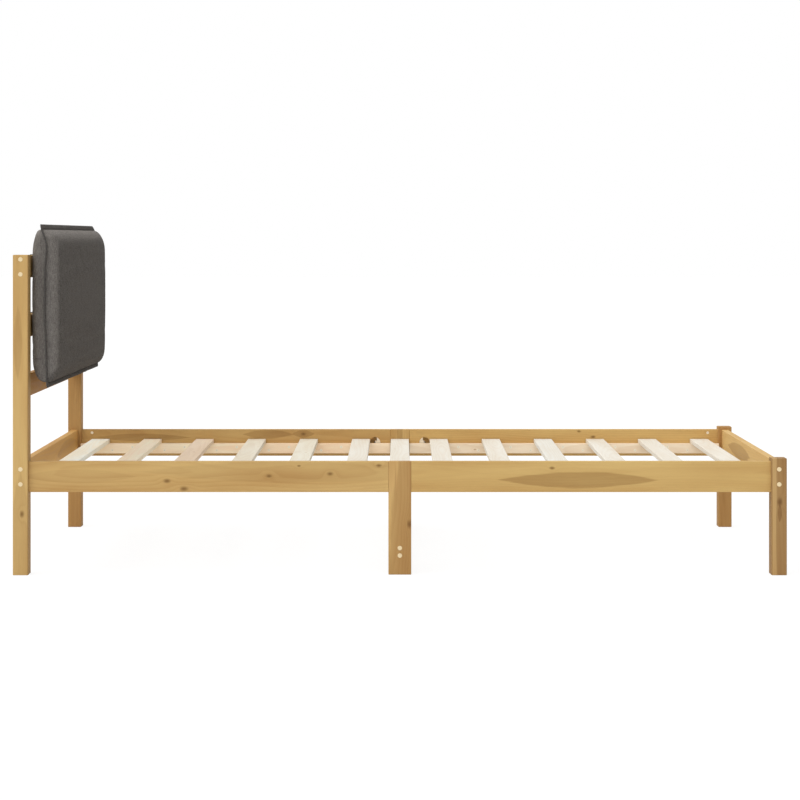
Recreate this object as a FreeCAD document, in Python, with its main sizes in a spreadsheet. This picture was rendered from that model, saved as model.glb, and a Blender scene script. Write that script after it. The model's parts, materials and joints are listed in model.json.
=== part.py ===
import FreeCAD, Part
import math
import os
import re
import Sketcher

# A single bed frame of pine with a padded headboard, knocked down into boards, bolts and screws.
# +X runs from the head to the foot, +Z is up, and the origin is on the floor under the middle.
# "right" is the side at -Y and "left" the side at +Y, for someone who lies with the head at -X.

V = FreeCAD.Vector

SIZES = (
    ("well_length", 2000, "inside length, for a 200 cm mattress"),
    ("well_width", 900, "inside width, for a 90 cm mattress"),
    ("post_size", 41, "side of a square corner post"),
    ("board_thick", 20, "thickness of rails, boards and middle legs"),
    ("edge_round", 2, "rounding of the long edges of the timber"),
    ("end_ease", 1, "chamfer round the ends of posts and middle legs"),
    ("head_post_height", 853, "height of a head post"),
    ("foot_post_height", 311, "height of a foot post"),
    ("rail_height", 82, "height of side rails and end boards"),
    ("rail_top", 302, "top of side rails and end boards above the floor"),
    ("joint_drop", 40, "middle of the joints at a rail's ends below its top"),
    ("cross_rail_height", 60, "height of a headboard cross rail"),
    ("cross_rail_pitch", 160, "step from one headboard cross rail to the next"),
    ("cross_rail_drop", 2, "top of the head posts above the top cross rail"),
    ("middle_leg_width", 61, "width of a middle leg"),
    ("stretcher_height", 40, "height of the bar between the middle legs"),
    ("stretcher_middle", 61, "middle of that bar above the floor"),
    ("mattress_sink", 29, "top of the rails above the top of the slats"),
    ("slat_width", 56, "width of a slat"),
    ("slat_thick", 13, "thickness of a slat"),
    ("slat_first", 120.6, "from the middle slat to the next"),
    ("slat_margin", 70.4, "from the last slat to the end of the well"),
    ("slat_end_gap", 3, "from a slat's end to the rail"),
    ("ledger_height", 30, "height of a slat ledger"),
    ("ledger_depth", 25, "depth of a slat ledger"),
    ("ledger_end_gap", 0.5, "gap at each end of a ledger"),
    ("fit_gap", 0.2, "how much wider a hole is than what it takes"),
    ("drill_past", 1, "how much deeper a hole is than what it takes"),
    ("pair_spacing", 40, "step between the two screws at a board's end"),
    ("stretcher_spacing", 20, "step between the two screws at the low bar's end"),
    ("plug_dia", 12, "diameter of a wooden plug"),
    ("plug_length", 8, "length of a plug inside the wood"),
    ("plug_crown", 0.6, "rise of a plug's face above the wood"),
    ("joint_head_dia", 10, "head diameter of a joint screw"),
    ("joint_head_height", 4.5, "head height of a joint screw"),
    ("joint_dia", 6, "shank diameter of a joint screw"),
    ("joint_length", 60, "shank length of a joint screw"),
    ("dowel_dia", 8, "diameter of a hidden dowel"),
    ("dowel_length", 38, "length of a hidden dowel"),
    ("cross_dowel_spacing", 30, "step between the two dowels of a cross rail"),
    ("bolt_offset", 30, "corner bolts above, and dowels below, the middle of the joints"),
    ("bolt_dia", 6, "shank diameter of a corner bolt"),
    ("bolt_head_dia", 10, "head diameter of a corner bolt"),
    ("bolt_head_height", 6, "head height of a corner bolt"),
    ("bolt_socket", 5, "width of the hexagon socket"),
    ("bolt_sink", 7, "depth of the counterbore for a bolt head"),
    ("barrel_dia", 9, "diameter of a barrel nut"),
    ("barrel_length", 16, "length of a barrel nut"),
    ("barrel_setback", 32, "from the post to the middle of a barrel nut"),
    ("moon_dia", 32, "diameter of the half-moon hole"),
    ("moon_depth", 16.5, "depth of the half-moon hole"),
    ("moon_setback", 46, "from the middle leg to the middle of that hole"),
    ("moon_thick", 12, "thickness of a half-moon washer along its hole"),
    ("moon_chord", 5, "from the hole's middle to the flat of the washer"),
    ("rod_dia", 6, "diameter of the threaded rod"),
    ("rod_past_nut", 3, "rod end past its nut"),
    ("nut_width", 10, "width of a nut across its flats"),
    ("nut_height", 5, "height of a nut"),
    ("screw_dia", 4, "shank diameter of a wood screw"),
    ("screw_head_dia", 8, "head diameter of a wood screw"),
    ("screw_head_height", 3, "height of the countersunk head"),
    ("screw_length", 34, "length of a wood screw"),
    ("screw_tip", 5, "length of the point"),
    ("screw_zigzag", 5, "ledger screws above and below the ledger's middle"),
    ("screw_lead", 61, "from a slat's middle to the first ledger screw after it"),
    ("screw_step", 62, "from that ledger screw to the next"),
    ("cleat_screw_step", 30, "step between the two screws of a middle cleat"),
    ("cushion_short", 3, "how much narrower the cushion is than the well, inside its flange"),
    ("cushion_height", 409, "height of the cushion inside its flange"),
    ("cushion_middle", 716, "middle of the cushion above the floor"),
    ("cushion_back", 39.2, "depth of the cushion behind its seam"),
    ("cushion_front", 38, "depth of the cushion before its seam, without the crown"),
    ("cushion_crown", 2, "rise of the front face towards its middle"),
    ("cushion_crown_run", 70, "way over which the front face rises"),
    ("cushion_edge_run", 55, "way over which the cushion swells from its seam"),
    ("cushion_corner", 40, "corner radius of the cushion"),
    ("cushion_draw", 5, "how far each side is drawn in between the corners"),
    ("flange_width", 14, "width of the flat flange"),
    ("flange_thick", 3, "thickness of the flange"),
    ("cover_thick", 1.5, "thickness of the quilted cover"),
    ("soft_gap", 0.3, "clearance round soft pieces"),
    ("strap_width", 40, "width of a strap"),
    ("strap_thick", 1.5, "thickness of a strap"),
    ("strap_spread", 250, "from the middle to a strap"),
)
SLATS_PER_HALF = 6
CROSS_RAILS = ("top", "middle", "lower")
STRAPPED_RAILS = 2
EDGE_STEPS = 6
EDGE_POWER = 2 / 3

ENDS = {"head": -1, "foot": 1}
SIDES = {"right": -1, "left": 1}

doc = FreeCAD.newDocument("bed_frame")
sheet = doc.addObject("Spreadsheet::Sheet", "Sizes")
for row, (alias, size, meaning) in enumerate(SIZES, 1):
    sheet.set(f"A{row}", meaning)
    sheet.set(f"B{row}", str(size))
    sheet.setAlias(f"B{row}", alias)
doc.recompute()

ALIASES = {alias for alias, size, meaning in SIZES}
nodes = {}

# Places worked out from the sizes, as formulas
INSET = "((post_size - board_thick)/2)"
HALF_LENGTH = f"(well_length/2 + board_thick + {INSET})"
HALF_WIDTH = f"(well_width/2 + board_thick + {INSET})"
POST_X = f"({HALF_LENGTH} - post_size/2)"
POST_Y = f"({HALF_WIDTH} - post_size/2)"
POST_FACE_X = f"({HALF_LENGTH} - post_size)"
POST_FACE_Y = f"({HALF_WIDTH} - post_size)"
RAIL_Y = POST_Y
RAIL_Z = "(rail_top - rail_height/2)"
JOINT_Z = "(rail_top - joint_drop)"
RAIL_LENGTH = f"({POST_FACE_X} - middle_leg_width/2)"
RAIL_X = f"(middle_leg_width/2 + {RAIL_LENGTH}/2)"
BOARD_LENGTH = f"(2*{POST_FACE_Y})"
SLAT_TOP = "(rail_top - mattress_sink)"
SLAT_PITCH = f"((well_length/2 - slat_margin - slat_first)/{SLATS_PER_HALF - 1})"
LEDGER_Y = "(well_width/2 - ledger_depth/2)"
LEDGER_FACE_Y = "(well_width/2 - ledger_depth)"
LEDGER_Z = f"({SLAT_TOP} - slat_thick - ledger_height/2)"
MOON_X = "(middle_leg_width/2 + moon_setback)"
NUT_FACE_X = f"({MOON_X} - moon_chord)"

# Turns that point a cylinder's own +Z along each direction
TURNS = {
    "+X": FreeCAD.Rotation(V(0, 1, 0), 90),
    "-X": FreeCAD.Rotation(V(0, 1, 0), -90),
    "+Y": FreeCAD.Rotation(V(1, 0, 0), -90),
    "-Y": FreeCAD.Rotation(V(1, 0, 0), 90),
    "+Z": FreeCAD.Rotation(),
    "-Z": FreeCAD.Rotation(V(1, 0, 0), 180),
}
# For a bar along each axis, the plane of its profile and the two sides of the profile
PROFILES = {"X": ("YZ_Plane", 1, 2), "Y": ("XZ_Plane", 0, 2), "Z": ("XY_Plane", 0, 1)}


def formula(text):
    """The text with each size's name replaced by its cell."""
    return re.sub(r"[a-z_]+", lambda m: f"Sizes.{m[0]}" if m[0] in ALIASES else m[0], str(text))


def bind(item, **sizes):
    """Tie properties to formulas; a double underscore stands for a dot."""
    for name, text in sizes.items():
        item.setExpression(name.replace("__", "."), formula(text))


def place(item, at, turn="+Z"):
    """Put an item at a point given by three formulas."""
    item.Placement = FreeCAD.Placement(V(), TURNS[turn])
    bind(item, Placement__Base__x=at[0], Placement__Base__y=at[1], Placement__Base__z=at[2])


def towards(sign, axis):
    return ("+" if sign > 0 else "-") + axis


def value(text):
    """The present value of a formula, for pieces whose shape is worked out in this file."""
    return float(sheet.evalExpression(formula(text)))


def rounded_rectangle(sketch, wide, tall, radius):
    """A rectangle with round corners about the sketch's origin."""
    w = value(wide) / 2
    t = value(tall) / 2
    r = value(radius)
    up = V(0, 0, 1)
    corners = ((w - r, r - t), (w - r, t - r), (r - w, t - r), (r - w, r - t))
    starts = (V(r - w, -t), V(w, r - t), V(w - r, t), V(-w, t - r))
    ends = (V(w - r, -t), V(w, t - r), V(r - w, t), V(-w, r - t))
    for i, (x, y) in enumerate(corners):
        sketch.addGeometry(Part.LineSegment(starts[i], ends[i]), False)
        circle = Part.Circle(V(x, y), up, r)
        sketch.addGeometry(Part.ArcOfCircle(circle, (i - 1) * math.pi / 2, i * math.pi / 2), False)
    for i in range(8):
        sketch.addConstraint(Sketcher.Constraint("Tangent", i, 2, (i + 1) % 8, 1))
    for i in (0, 4):
        sketch.addConstraint(Sketcher.Constraint("Horizontal", i))
        sketch.addConstraint(Sketcher.Constraint("Vertical", i + 2))
    for i in (3, 5, 7):
        sketch.addConstraint(Sketcher.Constraint("Equal", 1, i))
    sketch.addConstraint(Sketcher.Constraint("Symmetric", 3, 3, 7, 3, -1, 1))
    datums = (
        ("wide", Sketcher.Constraint("DistanceX", 6, 1, 2, 1, 2 * w), wide),
        ("tall", Sketcher.Constraint("DistanceY", 0, 1, 4, 1, 2 * t), tall),
        ("corner", Sketcher.Constraint("Radius", 1, r), radius),
    )
    for name, constraint, text in datums:
        sketch.renameConstraint(sketch.addConstraint(constraint), name)
        sketch.setExpression(f"Constraints.{name}", formula(text))


def bar(label, axis, size, at):
    """A length of timber with rounded long edges: size and middle are given along X, Y and Z."""
    body = doc.addObject("PartDesign::Body", label)
    planes = {feature.Role: feature for feature in body.Origin.OriginFeatures}
    plane, across, up = PROFILES[axis]
    sketch = body.newObject("Sketcher::SketchObject", f"{label}_profile")
    sketch.AttachmentSupport = (planes[plane], [""])
    sketch.MapMode = "FlatFace"
    rounded_rectangle(sketch, size[across], size[up], "edge_round")
    pad = body.newObject("PartDesign::Pad", f"{label}_length")
    pad.Profile = sketch
    pad.SideType = "Symmetric"
    bind(pad, Length=size["XYZ".index(axis)])
    place(body, at)
    nodes[label] = body
    return {"body": body, "pad": pad, "at": at}


def ease_ends(piece):
    """Chamfer the edges round both ends of an upright bar."""
    doc.recompute()
    pad = piece["pad"]
    box = pad.Shape.BoundBox
    level = []
    for number, edge in enumerate(pad.Shape.Edges, 1):
        heights = [vertex.Z for vertex in edge.Vertexes]
        if max(heights) - min(heights) < box.ZLength / 2:
            level.append(f"Edge{number}")
    chamfer = piece["body"].newObject("PartDesign::Chamfer", "Ends")
    chamfer.Base = (pad, level)
    bind(chamfer, Size="end_ease")


def inside(piece, at):
    """A point of the bed in the piece's own frame."""
    return [f"({point}) - ({middle})" for point, middle in zip(at, piece["at"])]


def drill(piece, dia, depth, at, turn):
    """A round hole that starts at a point of the bed and runs along a direction."""
    hole = piece["body"].newObject("PartDesign::SubtractiveCylinder", "Hole")
    bind(hole, Radius=f"({dia})/2", Height=depth)
    place(hole, inside(piece, at), turn)


def countersink(piece, at, turn):
    """The cone for a wood screw's head."""
    sink = piece["body"].newObject("PartDesign::SubtractiveCone", "Countersink")
    bind(sink, Radius1="(screw_head_dia + fit_gap)/2", Radius2="(screw_dia + fit_gap)/2")
    bind(sink, Height="screw_head_height")
    place(sink, inside(piece, at), turn)


def solid(kind, **sizes):
    """A primitive at the origin, tied to the sizes."""
    item = doc.addObject(f"Part::{kind}", kind)
    bind(item, **sizes)
    return item


def joined(base, tool):
    fuse = doc.addObject("Part::Fuse", "Joined")
    fuse.Base = base
    fuse.Tool = tool
    return fuse


def cut(base, tool):
    item = doc.addObject("Part::Cut", "Cut")
    item.Base = base
    item.Tool = tool
    return item


def group(label, pattern, places):
    """Copies of one piece as the separate solids of one node."""
    links = []
    for at, turn in places:
        link = doc.addObject("App::Link", f"{label}_copy")
        link.LinkedObject = pattern
        place(link, at, turn)
        links.append(link)
    compound = doc.addObject("Part::Compound", label)
    compound.Links = links
    nodes[label] = compound


# Timber

posts = {}
end_boards = {}
rails = {}
legs = {}
ledgers = {}
cleats = {}
cross_rails = {}
slats = {}

for side, s in SIDES.items():
    for end, e in ENDS.items():
        tall = f"{end}_post_height"
        post_at = (f"{e}*{POST_X}", f"{s}*{POST_Y}", f"{tall}/2")
        posts[end, side] = bar(f"{end}_post_{side}", "Z", ("post_size", "post_size", tall), post_at)
        ease_ends(posts[end, side])
        rail_size = (RAIL_LENGTH, "board_thick", "rail_height")
        rail_at = (f"{e}*{RAIL_X}", f"{s}*{RAIL_Y}", RAIL_Z)
        rails[end, side] = bar(f"side_rail_{side}_{end}", "X", rail_size, rail_at)
        ledger_size = (f"{RAIL_LENGTH} - 2*ledger_end_gap", "ledger_depth", "ledger_height")
        ledger_at = (f"{e}*{RAIL_X}", f"{s}*{LEDGER_Y}", LEDGER_Z)
        ledgers[end, side] = bar(f"slat_ledger_{side}_{end}", "X", ledger_size, ledger_at)
    leg_at = ("0", f"{s}*{RAIL_Y}", "rail_top/2")
    legs[side] = bar(f"middle_leg_{side}", "Z", ("middle_leg_width", "board_thick", "rail_top"), leg_at)
    ease_ends(legs[side])
    cleat_size = ("middle_leg_width - 2*ledger_end_gap", "ledger_depth", "ledger_height")
    cleat_at = ("0", f"{s}*{LEDGER_Y}", LEDGER_Z)
    cleats[side] = bar(f"middle_cleat_{side}", "X", cleat_size, cleat_at)

for end, e in ENDS.items():
    board_size = ("board_thick", BOARD_LENGTH, "rail_height")
    end_boards[end] = bar(f"{end}_end_board", "Y", board_size, (f"{e}*{POST_X}", "0", RAIL_Z))

for step, name in enumerate(CROSS_RAILS):
    z = f"(head_post_height - cross_rail_drop - cross_rail_height/2 - {step}*cross_rail_pitch)"
    cross_size = ("board_thick", BOARD_LENGTH, "cross_rail_height")
    cross_rails[name] = bar(f"headboard_{name}_rail", "Y", cross_size, (f"-{POST_X}", "0", z))

stretcher_size = ("board_thick", "well_width", "stretcher_height")
stretcher = bar("middle_leg_stretcher", "Y", stretcher_size, ("0", "0", "stretcher_middle"))

for number in range(-SLATS_PER_HALF, SLATS_PER_HALF + 1):
    x = "0"
    if number:
        half = 1 if number > 0 else -1
        x = f"{half}*(slat_first + {abs(number) - 1}*{SLAT_PITCH})"
    slat_size = ("slat_width", "well_width - 2*slat_end_gap", "slat_thick")
    label = f"slat_{number + SLATS_PER_HALF + 1:02d}"
    slats[number] = bar(label, "Y", slat_size, (x, "0", f"{SLAT_TOP} - slat_thick/2"))

# Screwed joints under plugs, across the bed

plug_places = []
joint_places = []
JOINT_SINK = "(plug_length + joint_head_height)"


def plugged_joint(upright, board, x, face_y, z, s):
    """A long screw through an upright into the end of a board, under a plug."""
    inward = towards(-s, "Y")
    face = (x, f"{s}*{face_y}", z)
    drill(upright, "plug_dia + fit_gap", JOINT_SINK, face, inward)
    for piece in (upright, board):
        drill(piece, "joint_dia + fit_gap", f"{JOINT_SINK} + joint_length + drill_past", face, inward)
    plug_places.append((face, inward))
    joint_places.append(((x, f"{s}*({face_y} - plug_length)", z), inward))


for side, s in SIDES.items():
    for way in (-1, 1):
        for end, e in ENDS.items():
            z = f"({JOINT_Z} + {way}*pair_spacing/2)"
            plugged_joint(posts[end, side], end_boards[end], f"{e}*{POST_X}", HALF_WIDTH, z, s)
        top = cross_rails["top"]
        z = f"({top['at'][2]} + {way}*pair_spacing/2)"
        plugged_joint(posts["head", side], top, f"-{POST_X}", HALF_WIDTH, z, s)
        z = f"(stretcher_middle + {way}*stretcher_spacing/2)"
        plugged_joint(legs[side], stretcher, "0", f"({RAIL_Y} + board_thick/2)", z, s)

# Hidden dowels

dowel_places = []


def dowelled(first, second, at, turn):
    """A dowel half in each of two pieces; the point is where they meet."""
    axis = "XYZ".index(turn[1])
    start = list(at)
    socket = list(at)
    sign = turn[0]
    start[axis] = f"{at[axis]} - {sign}1*dowel_length/2"
    socket[axis] = f"{at[axis]} - {sign}1*(dowel_length/2 + drill_past)"
    for piece in (first, second):
        drill(piece, "dowel_dia + fit_gap", "dowel_length + 2*drill_past", socket, turn)
    dowel_places.append((start, turn))


for side, s in SIDES.items():
    for way in (-1, 1):
        for name in CROSS_RAILS[1:]:
            rail = cross_rails[name]
            z = f"({rail['at'][2]} + {way}*cross_dowel_spacing/2)"
            meet = (f"-{POST_X}", f"{s}*{POST_FACE_Y}", z)
            dowelled(posts["head", side], rail, meet, towards(-s, "Y"))
        for end, e in ENDS.items():
            meet = (f"{e}*middle_leg_width/2", f"{s}*{RAIL_Y}", f"({JOINT_Z} + {way}*bolt_offset)")
            dowelled(legs[side], rails[end, side], meet, towards(e, "X"))
    for end, e in ENDS.items():
        meet = (f"{e}*{POST_FACE_X}", f"{s}*{RAIL_Y}", f"({JOINT_Z} - bolt_offset)")
        dowelled(posts[end, side], rails[end, side], meet, towards(-e, "X"))

# Bolts along the bed at the corners, with barrel nuts in the rails

bolt_places = []
barrel_places = []
BOLT_LENGTH = "(post_size - bolt_sink + barrel_setback + barrel_dia)"

for side, s in SIDES.items():
    for end, e in ENDS.items():
        z = f"({JOINT_Z} + bolt_offset)"
        inward = towards(-e, "X")
        face = (f"{e}*{HALF_LENGTH}", f"{s}*{RAIL_Y}", z)
        drill(posts[end, side], "bolt_head_dia + fit_gap", "bolt_sink", face, inward)
        for piece in (posts[end, side], rails[end, side]):
            drill(piece, "bolt_dia + fit_gap", f"bolt_sink + {BOLT_LENGTH} + drill_past", face, inward)
        barrel_x = f"{e}*({POST_FACE_X} - barrel_setback)"
        barrel_mouth = (barrel_x, f"{s}*well_width/2", z)
        barrel_depth = "board_thick/2 + barrel_length/2"
        drill(rails[end, side], "barrel_dia + fit_gap", barrel_depth, barrel_mouth, towards(s, "Y"))
        bolt_places.append(((f"{e}*({HALF_LENGTH} - bolt_sink)", f"{s}*{RAIL_Y}", z), inward))
        barrel_places.append(((barrel_x, f"{s}*({RAIL_Y} - barrel_length/2)", z), towards(s, "Y")))

# Threaded rods through the middle legs, with half-moon washers and nuts in the rails

rod_places = []
moon_places = {1: [], -1: []}
nut_places = []
ROD_REACH = f"({NUT_FACE_X} + nut_height + rod_past_nut)"

for side, s in SIDES.items():
    rod_start = (f"-{ROD_REACH}", f"{s}*{RAIL_Y}", JOINT_Z)
    for piece in (legs[side], rails["head", side], rails["foot", side]):
        drill(piece, "rod_dia + fit_gap", f"2*{ROD_REACH}", rod_start, "+X")
    rod_places.append((rod_start, "+X"))
    for end, e in ENDS.items():
        mouth = (f"{e}*{MOON_X}", f"{s}*well_width/2", JOINT_Z)
        drill(rails[end, side], "moon_dia", "moon_depth", mouth, towards(s, "Y"))
        moon_start = (f"{e}*{MOON_X}", f"{s}*{RAIL_Y} - moon_thick/2", JOINT_Z)
        moon_places[e].append((moon_start, "+Y"))
        nut_places.append(((f"{e}*{NUT_FACE_X}", f"{s}*{RAIL_Y}", JOINT_Z), towards(e, "X")))

# Wood screws of the ledgers, the middle cleats and the slats

ledger_screw_places = []
slat_screw_places = []


def wood_screw(outer, inner, at, turn, places):
    """A countersunk screw through one piece into the next."""
    countersink(outer, at, turn)
    for piece in (outer, inner):
        drill(piece, "screw_dia + fit_gap", "screw_length + drill_past", at, turn)
    places.append((at, turn))


for side, s in SIDES.items():
    outward = towards(s, "Y")
    face_y = f"{s}*{LEDGER_FACE_Y}"
    for end, e in ENDS.items():
        for number in range(1, SLATS_PER_HALF):
            for row, way in enumerate((1, -1)):
                x = f"{e}*(slat_first + {number - 1}*{SLAT_PITCH} + screw_lead + {row}*screw_step)"
                at = (x, face_y, f"({LEDGER_Z} + {way}*screw_zigzag)")
                wood_screw(ledgers[end, side], rails[end, side], at, outward, ledger_screw_places)
        for number in range(1, SLATS_PER_HALF + 1):
            slat = slats[e * number]
            at = (slat["at"][0], f"{s}*{LEDGER_Y}", SLAT_TOP)
            wood_screw(slat, ledgers[end, side], at, "-Z", slat_screw_places)
    for way in (-1, 1):
        at = (f"{way}*cleat_screw_step/2", face_y, f"({LEDGER_Z} + {way}*screw_zigzag)")
        wood_screw(cleats[side], legs[side], at, outward, ledger_screw_places)
    wood_screw(slats[0], cleats[side], ("0", f"{s}*{LEDGER_Y}", SLAT_TOP), "-Z", slat_screw_places)

# Fasteners, each made once along its own +Z and then copied to its places

plug_body = solid("Cylinder", Radius="plug_dia/2", Height="plug_length")
plug_face = solid("Cone", Radius1="plug_dia/2 - plug_crown", Radius2="plug_dia/2", Height="plug_crown")
place(plug_face, ("0", "0", "-plug_crown"))
group("joint_plugs", joined(plug_body, plug_face), plug_places)

joint_head = solid("Cylinder", Radius="joint_head_dia/2", Height="joint_head_height")
joint_shank = solid("Cylinder", Radius="joint_dia/2", Height="joint_head_height + joint_length")
group("joint_screws", joined(joint_head, joint_shank), joint_places)

group("wood_dowels", solid("Cylinder", Radius="dowel_dia/2", Height="dowel_length"), dowel_places)

bolt_head = solid("Cylinder", Radius="bolt_head_dia/2", Height="bolt_head_height")
bolt_socket = solid("Prism", Circumradius="bolt_socket/sqrt(3)", Height="bolt_head_height/2")
place(bolt_head, ("0", "0", "-bolt_head_height"))
place(bolt_socket, ("0", "0", "-bolt_head_height"))
bolt_shank = solid("Cylinder", Radius="bolt_dia/2", Height=BOLT_LENGTH)
group("corner_bolts", cut(joined(bolt_head, bolt_shank), bolt_socket), bolt_places)

barrel = solid("Cylinder", Radius="barrel_dia/2", Height="barrel_length")
barrel_bore = solid("Cylinder", Radius="(bolt_dia + fit_gap)/2", Height="2*barrel_dia")
place(barrel_bore, ("-barrel_dia", "0", "barrel_length/2"), "+X")
group("corner_barrel_nuts", cut(barrel, barrel_bore), barrel_places)

group("middle_joint_rods", solid("Cylinder", Radius="rod_dia/2", Height=f"2*{ROD_REACH}"), rod_places)

nut = solid("Prism", Circumradius="nut_width/sqrt(3)", Height="nut_height")
nut_bore = solid("Cylinder", Radius="(rod_dia + fit_gap)/2", Height="nut_height")
group("middle_joint_nuts", cut(nut, nut_bore), nut_places)


def half_moon(e):
    """A washer that fills the side of its hole next to the middle leg, up to a flat for the nut."""
    disc = solid("Cylinder", Radius="(moon_dia - fit_gap)/2", Height="moon_thick")
    away = solid("Box", Length="moon_dia", Width="2*moon_dia", Height="moon_thick")
    start = "-moon_chord" if e > 0 else "moon_chord - moon_dia"
    place(away, (start, "-moon_dia", "0"))
    bore = solid("Cylinder", Radius="(rod_dia + fit_gap)/2", Height="2*moon_dia")
    place(bore, ("-moon_dia", "0", "moon_thick/2"), "+X")
    return cut(cut(disc, away), bore)


for end, e in ENDS.items():
    group(f"half_moon_washers_{end}", half_moon(e), moon_places[e])

screw_shank = solid("Cylinder", Radius="screw_dia/2", Height="screw_length - screw_tip")
screw_point = solid("Cone", Radius1="screw_dia/2", Radius2=0, Height="screw_tip")
place(screw_point, ("0", "0", "screw_length - screw_tip"))
screw_head = solid("Cone", Radius1="screw_head_dia/2", Radius2="screw_dia/2", Height="screw_head_height")
screw = joined(joined(screw_head, screw_shank), screw_point)
group("ledger_screws", screw, ledger_screw_places)
group("slat_screws", screw, slat_screw_places)

# Straps that hold the cushion on the two upper cross rails

STRAP_WALL = "(soft_gap + strap_thick)"
STRAP_BACK = f"({POST_X} + board_thick/2 + {STRAP_WALL})"
STRAP_FRONT = f"{POST_FACE_X}"
strap_outside = solid("Box", Length=f"{STRAP_BACK} - {STRAP_FRONT}", Width="strap_width")
bind(strap_outside, Height=f"cross_rail_height + 2*{STRAP_WALL}")
strap_inside = solid("Box", Length=f"{STRAP_BACK} - {STRAP_FRONT} - 2*strap_thick", Width="strap_width")
bind(strap_inside, Height="cross_rail_height + 2*soft_gap")
place(strap_inside, ("strap_thick", "0", "strap_thick"))
strap_places = []
for name in CROSS_RAILS[:STRAPPED_RAILS]:
    low = f"{cross_rails[name]['at'][2]} - cross_rail_height/2 - {STRAP_WALL}"
    for s in SIDES.values():
        strap_places.append(((f"-{STRAP_BACK}", f"{s}*strap_spread - strap_width/2", low), "+Z"))
group("cushion_straps", cut(strap_outside, strap_inside), strap_places)

# The cushion: a foam core in a cover of two halves, sewn together in a flat flange.
# Its shape is worked out here, because it swells through sections with curved sides.

SEAM_X = f"-({POST_FACE_X} - soft_gap - cushion_back)"
CUSHION_WIDTH = "(well_width - cushion_short)"


def section(inset, x):
    """The cushion's outline at a distance from the seam: sides drawn in between round corners."""
    half_y = value(CUSHION_WIDTH) / 2 - inset
    half_z = value("cushion_height") / 2 - inset
    r = value("cushion_corner")
    draw = value("cushion_draw")
    bend = r * (1 - math.sqrt(0.5))
    edges = []
    for ay, az in ((1, 0), (0, 1), (-1, 0), (0, -1)):
        reach = half_y if ay else half_z
        run = (half_z if ay else half_y) - r
        side = [V(x, ay * d - az * u, az * d + ay * u)
                for d, u in ((reach, -run), (reach - draw, 0), (reach, run))]
        edges.append(Part.Arc(*side).toShape())
        ny, nz = -az, ay
        turn = V(x, (ay + ny) * (half_y - bend), (az + nz) * (half_z - bend))
        next_reach = half_z if ay else half_y
        finish = V(x, ay * (half_y - r) + ny * next_reach, az * (half_z - r) + nz * next_reach)
        edges.append(Part.Arc(side[2], turn, finish).toShape())
    return Part.Wire(edges)


def half_cushion(way, depth, inset, crown):
    """One half of the cushion's body, which swells from its seam and then rises gently."""
    run = value("cushion_edge_run")
    whole_run = run + value("cushion_crown_run")
    steps = []
    for step in range(EDGE_STEPS + 1):
        angle = step * math.pi / 2 / EDGE_STEPS
        inward = 1 - abs(math.cos(angle)) ** EDGE_POWER
        steps.append((run * inward, depth * math.sin(angle) ** EDGE_POWER))
    if crown:
        steps.append((whole_run, depth))
    sections = [section(inset + e, way * (rise + crown * e / whole_run)) for e, rise in steps]
    return Part.makeLoft(sections, True, True)


def cover_half(way, depth, crown):
    """One half of the cover: a hollow shell and its half of the flange."""
    wall = value("cover_thick")
    flange = value("flange_width")
    half_y = value(CUSHION_WIDTH) / 2 + flange
    half_z = value("cushion_height") / 2 + flange
    thick = value("flange_thick") / 2
    sheet_back = min(0, way * thick)
    plate = Part.makeBox(thick, 2 * half_y, 2 * half_z, V(sheet_back, -half_y, -half_z))
    shell = half_cushion(way, depth, 0, crown).fuse(plate)
    return shell.cut(half_cushion(way, depth - wall, wall, crown)).removeSplitter()


def soft(label, shape):
    item = doc.addObject("Part::Feature", label)
    item.Shape = shape
    place(item, (SEAM_X, "0", "cushion_middle"))
    nodes[label] = item


FRONT = value("cushion_front")
BACK = value("cushion_back")
CROWN = value("cushion_crown")
FOAM_INSET = value("cover_thick + 2*soft_gap")
soft("cushion_front_cover", cover_half(1, FRONT, CROWN))
soft("cushion_back_cover", cover_half(-1, BACK, 0))
foam_front = half_cushion(1, FRONT - FOAM_INSET, FOAM_INSET, CROWN)
foam_back = half_cushion(-1, BACK - FOAM_INSET, FOAM_INSET, 0)
soft("cushion_foam_core", foam_front.fuse(foam_back).removeSplitter())

doc.recompute()

for item in doc.Objects:
    if "Invalid" in item.State or "Error" in item.State:
        raise RuntimeError(f"{item.Label} did not compute: {item.State}")
for label, item in nodes.items():
    if item.Shape.isNull() or not item.Shape.isValid():
        raise RuntimeError(f"{label} has no valid shape")

os.makedirs("parts", exist_ok=True)
for label, item in nodes.items():
    item.Label = label
    item.Shape.exportStep(f"parts/{label}.step")
print(f"{len(nodes)} sub-parts written")
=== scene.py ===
import json
import math
import random

import bmesh
import bpy
import numpy as np
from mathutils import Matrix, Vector, noise
from mathutils.bvhtree import BVHTree


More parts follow.
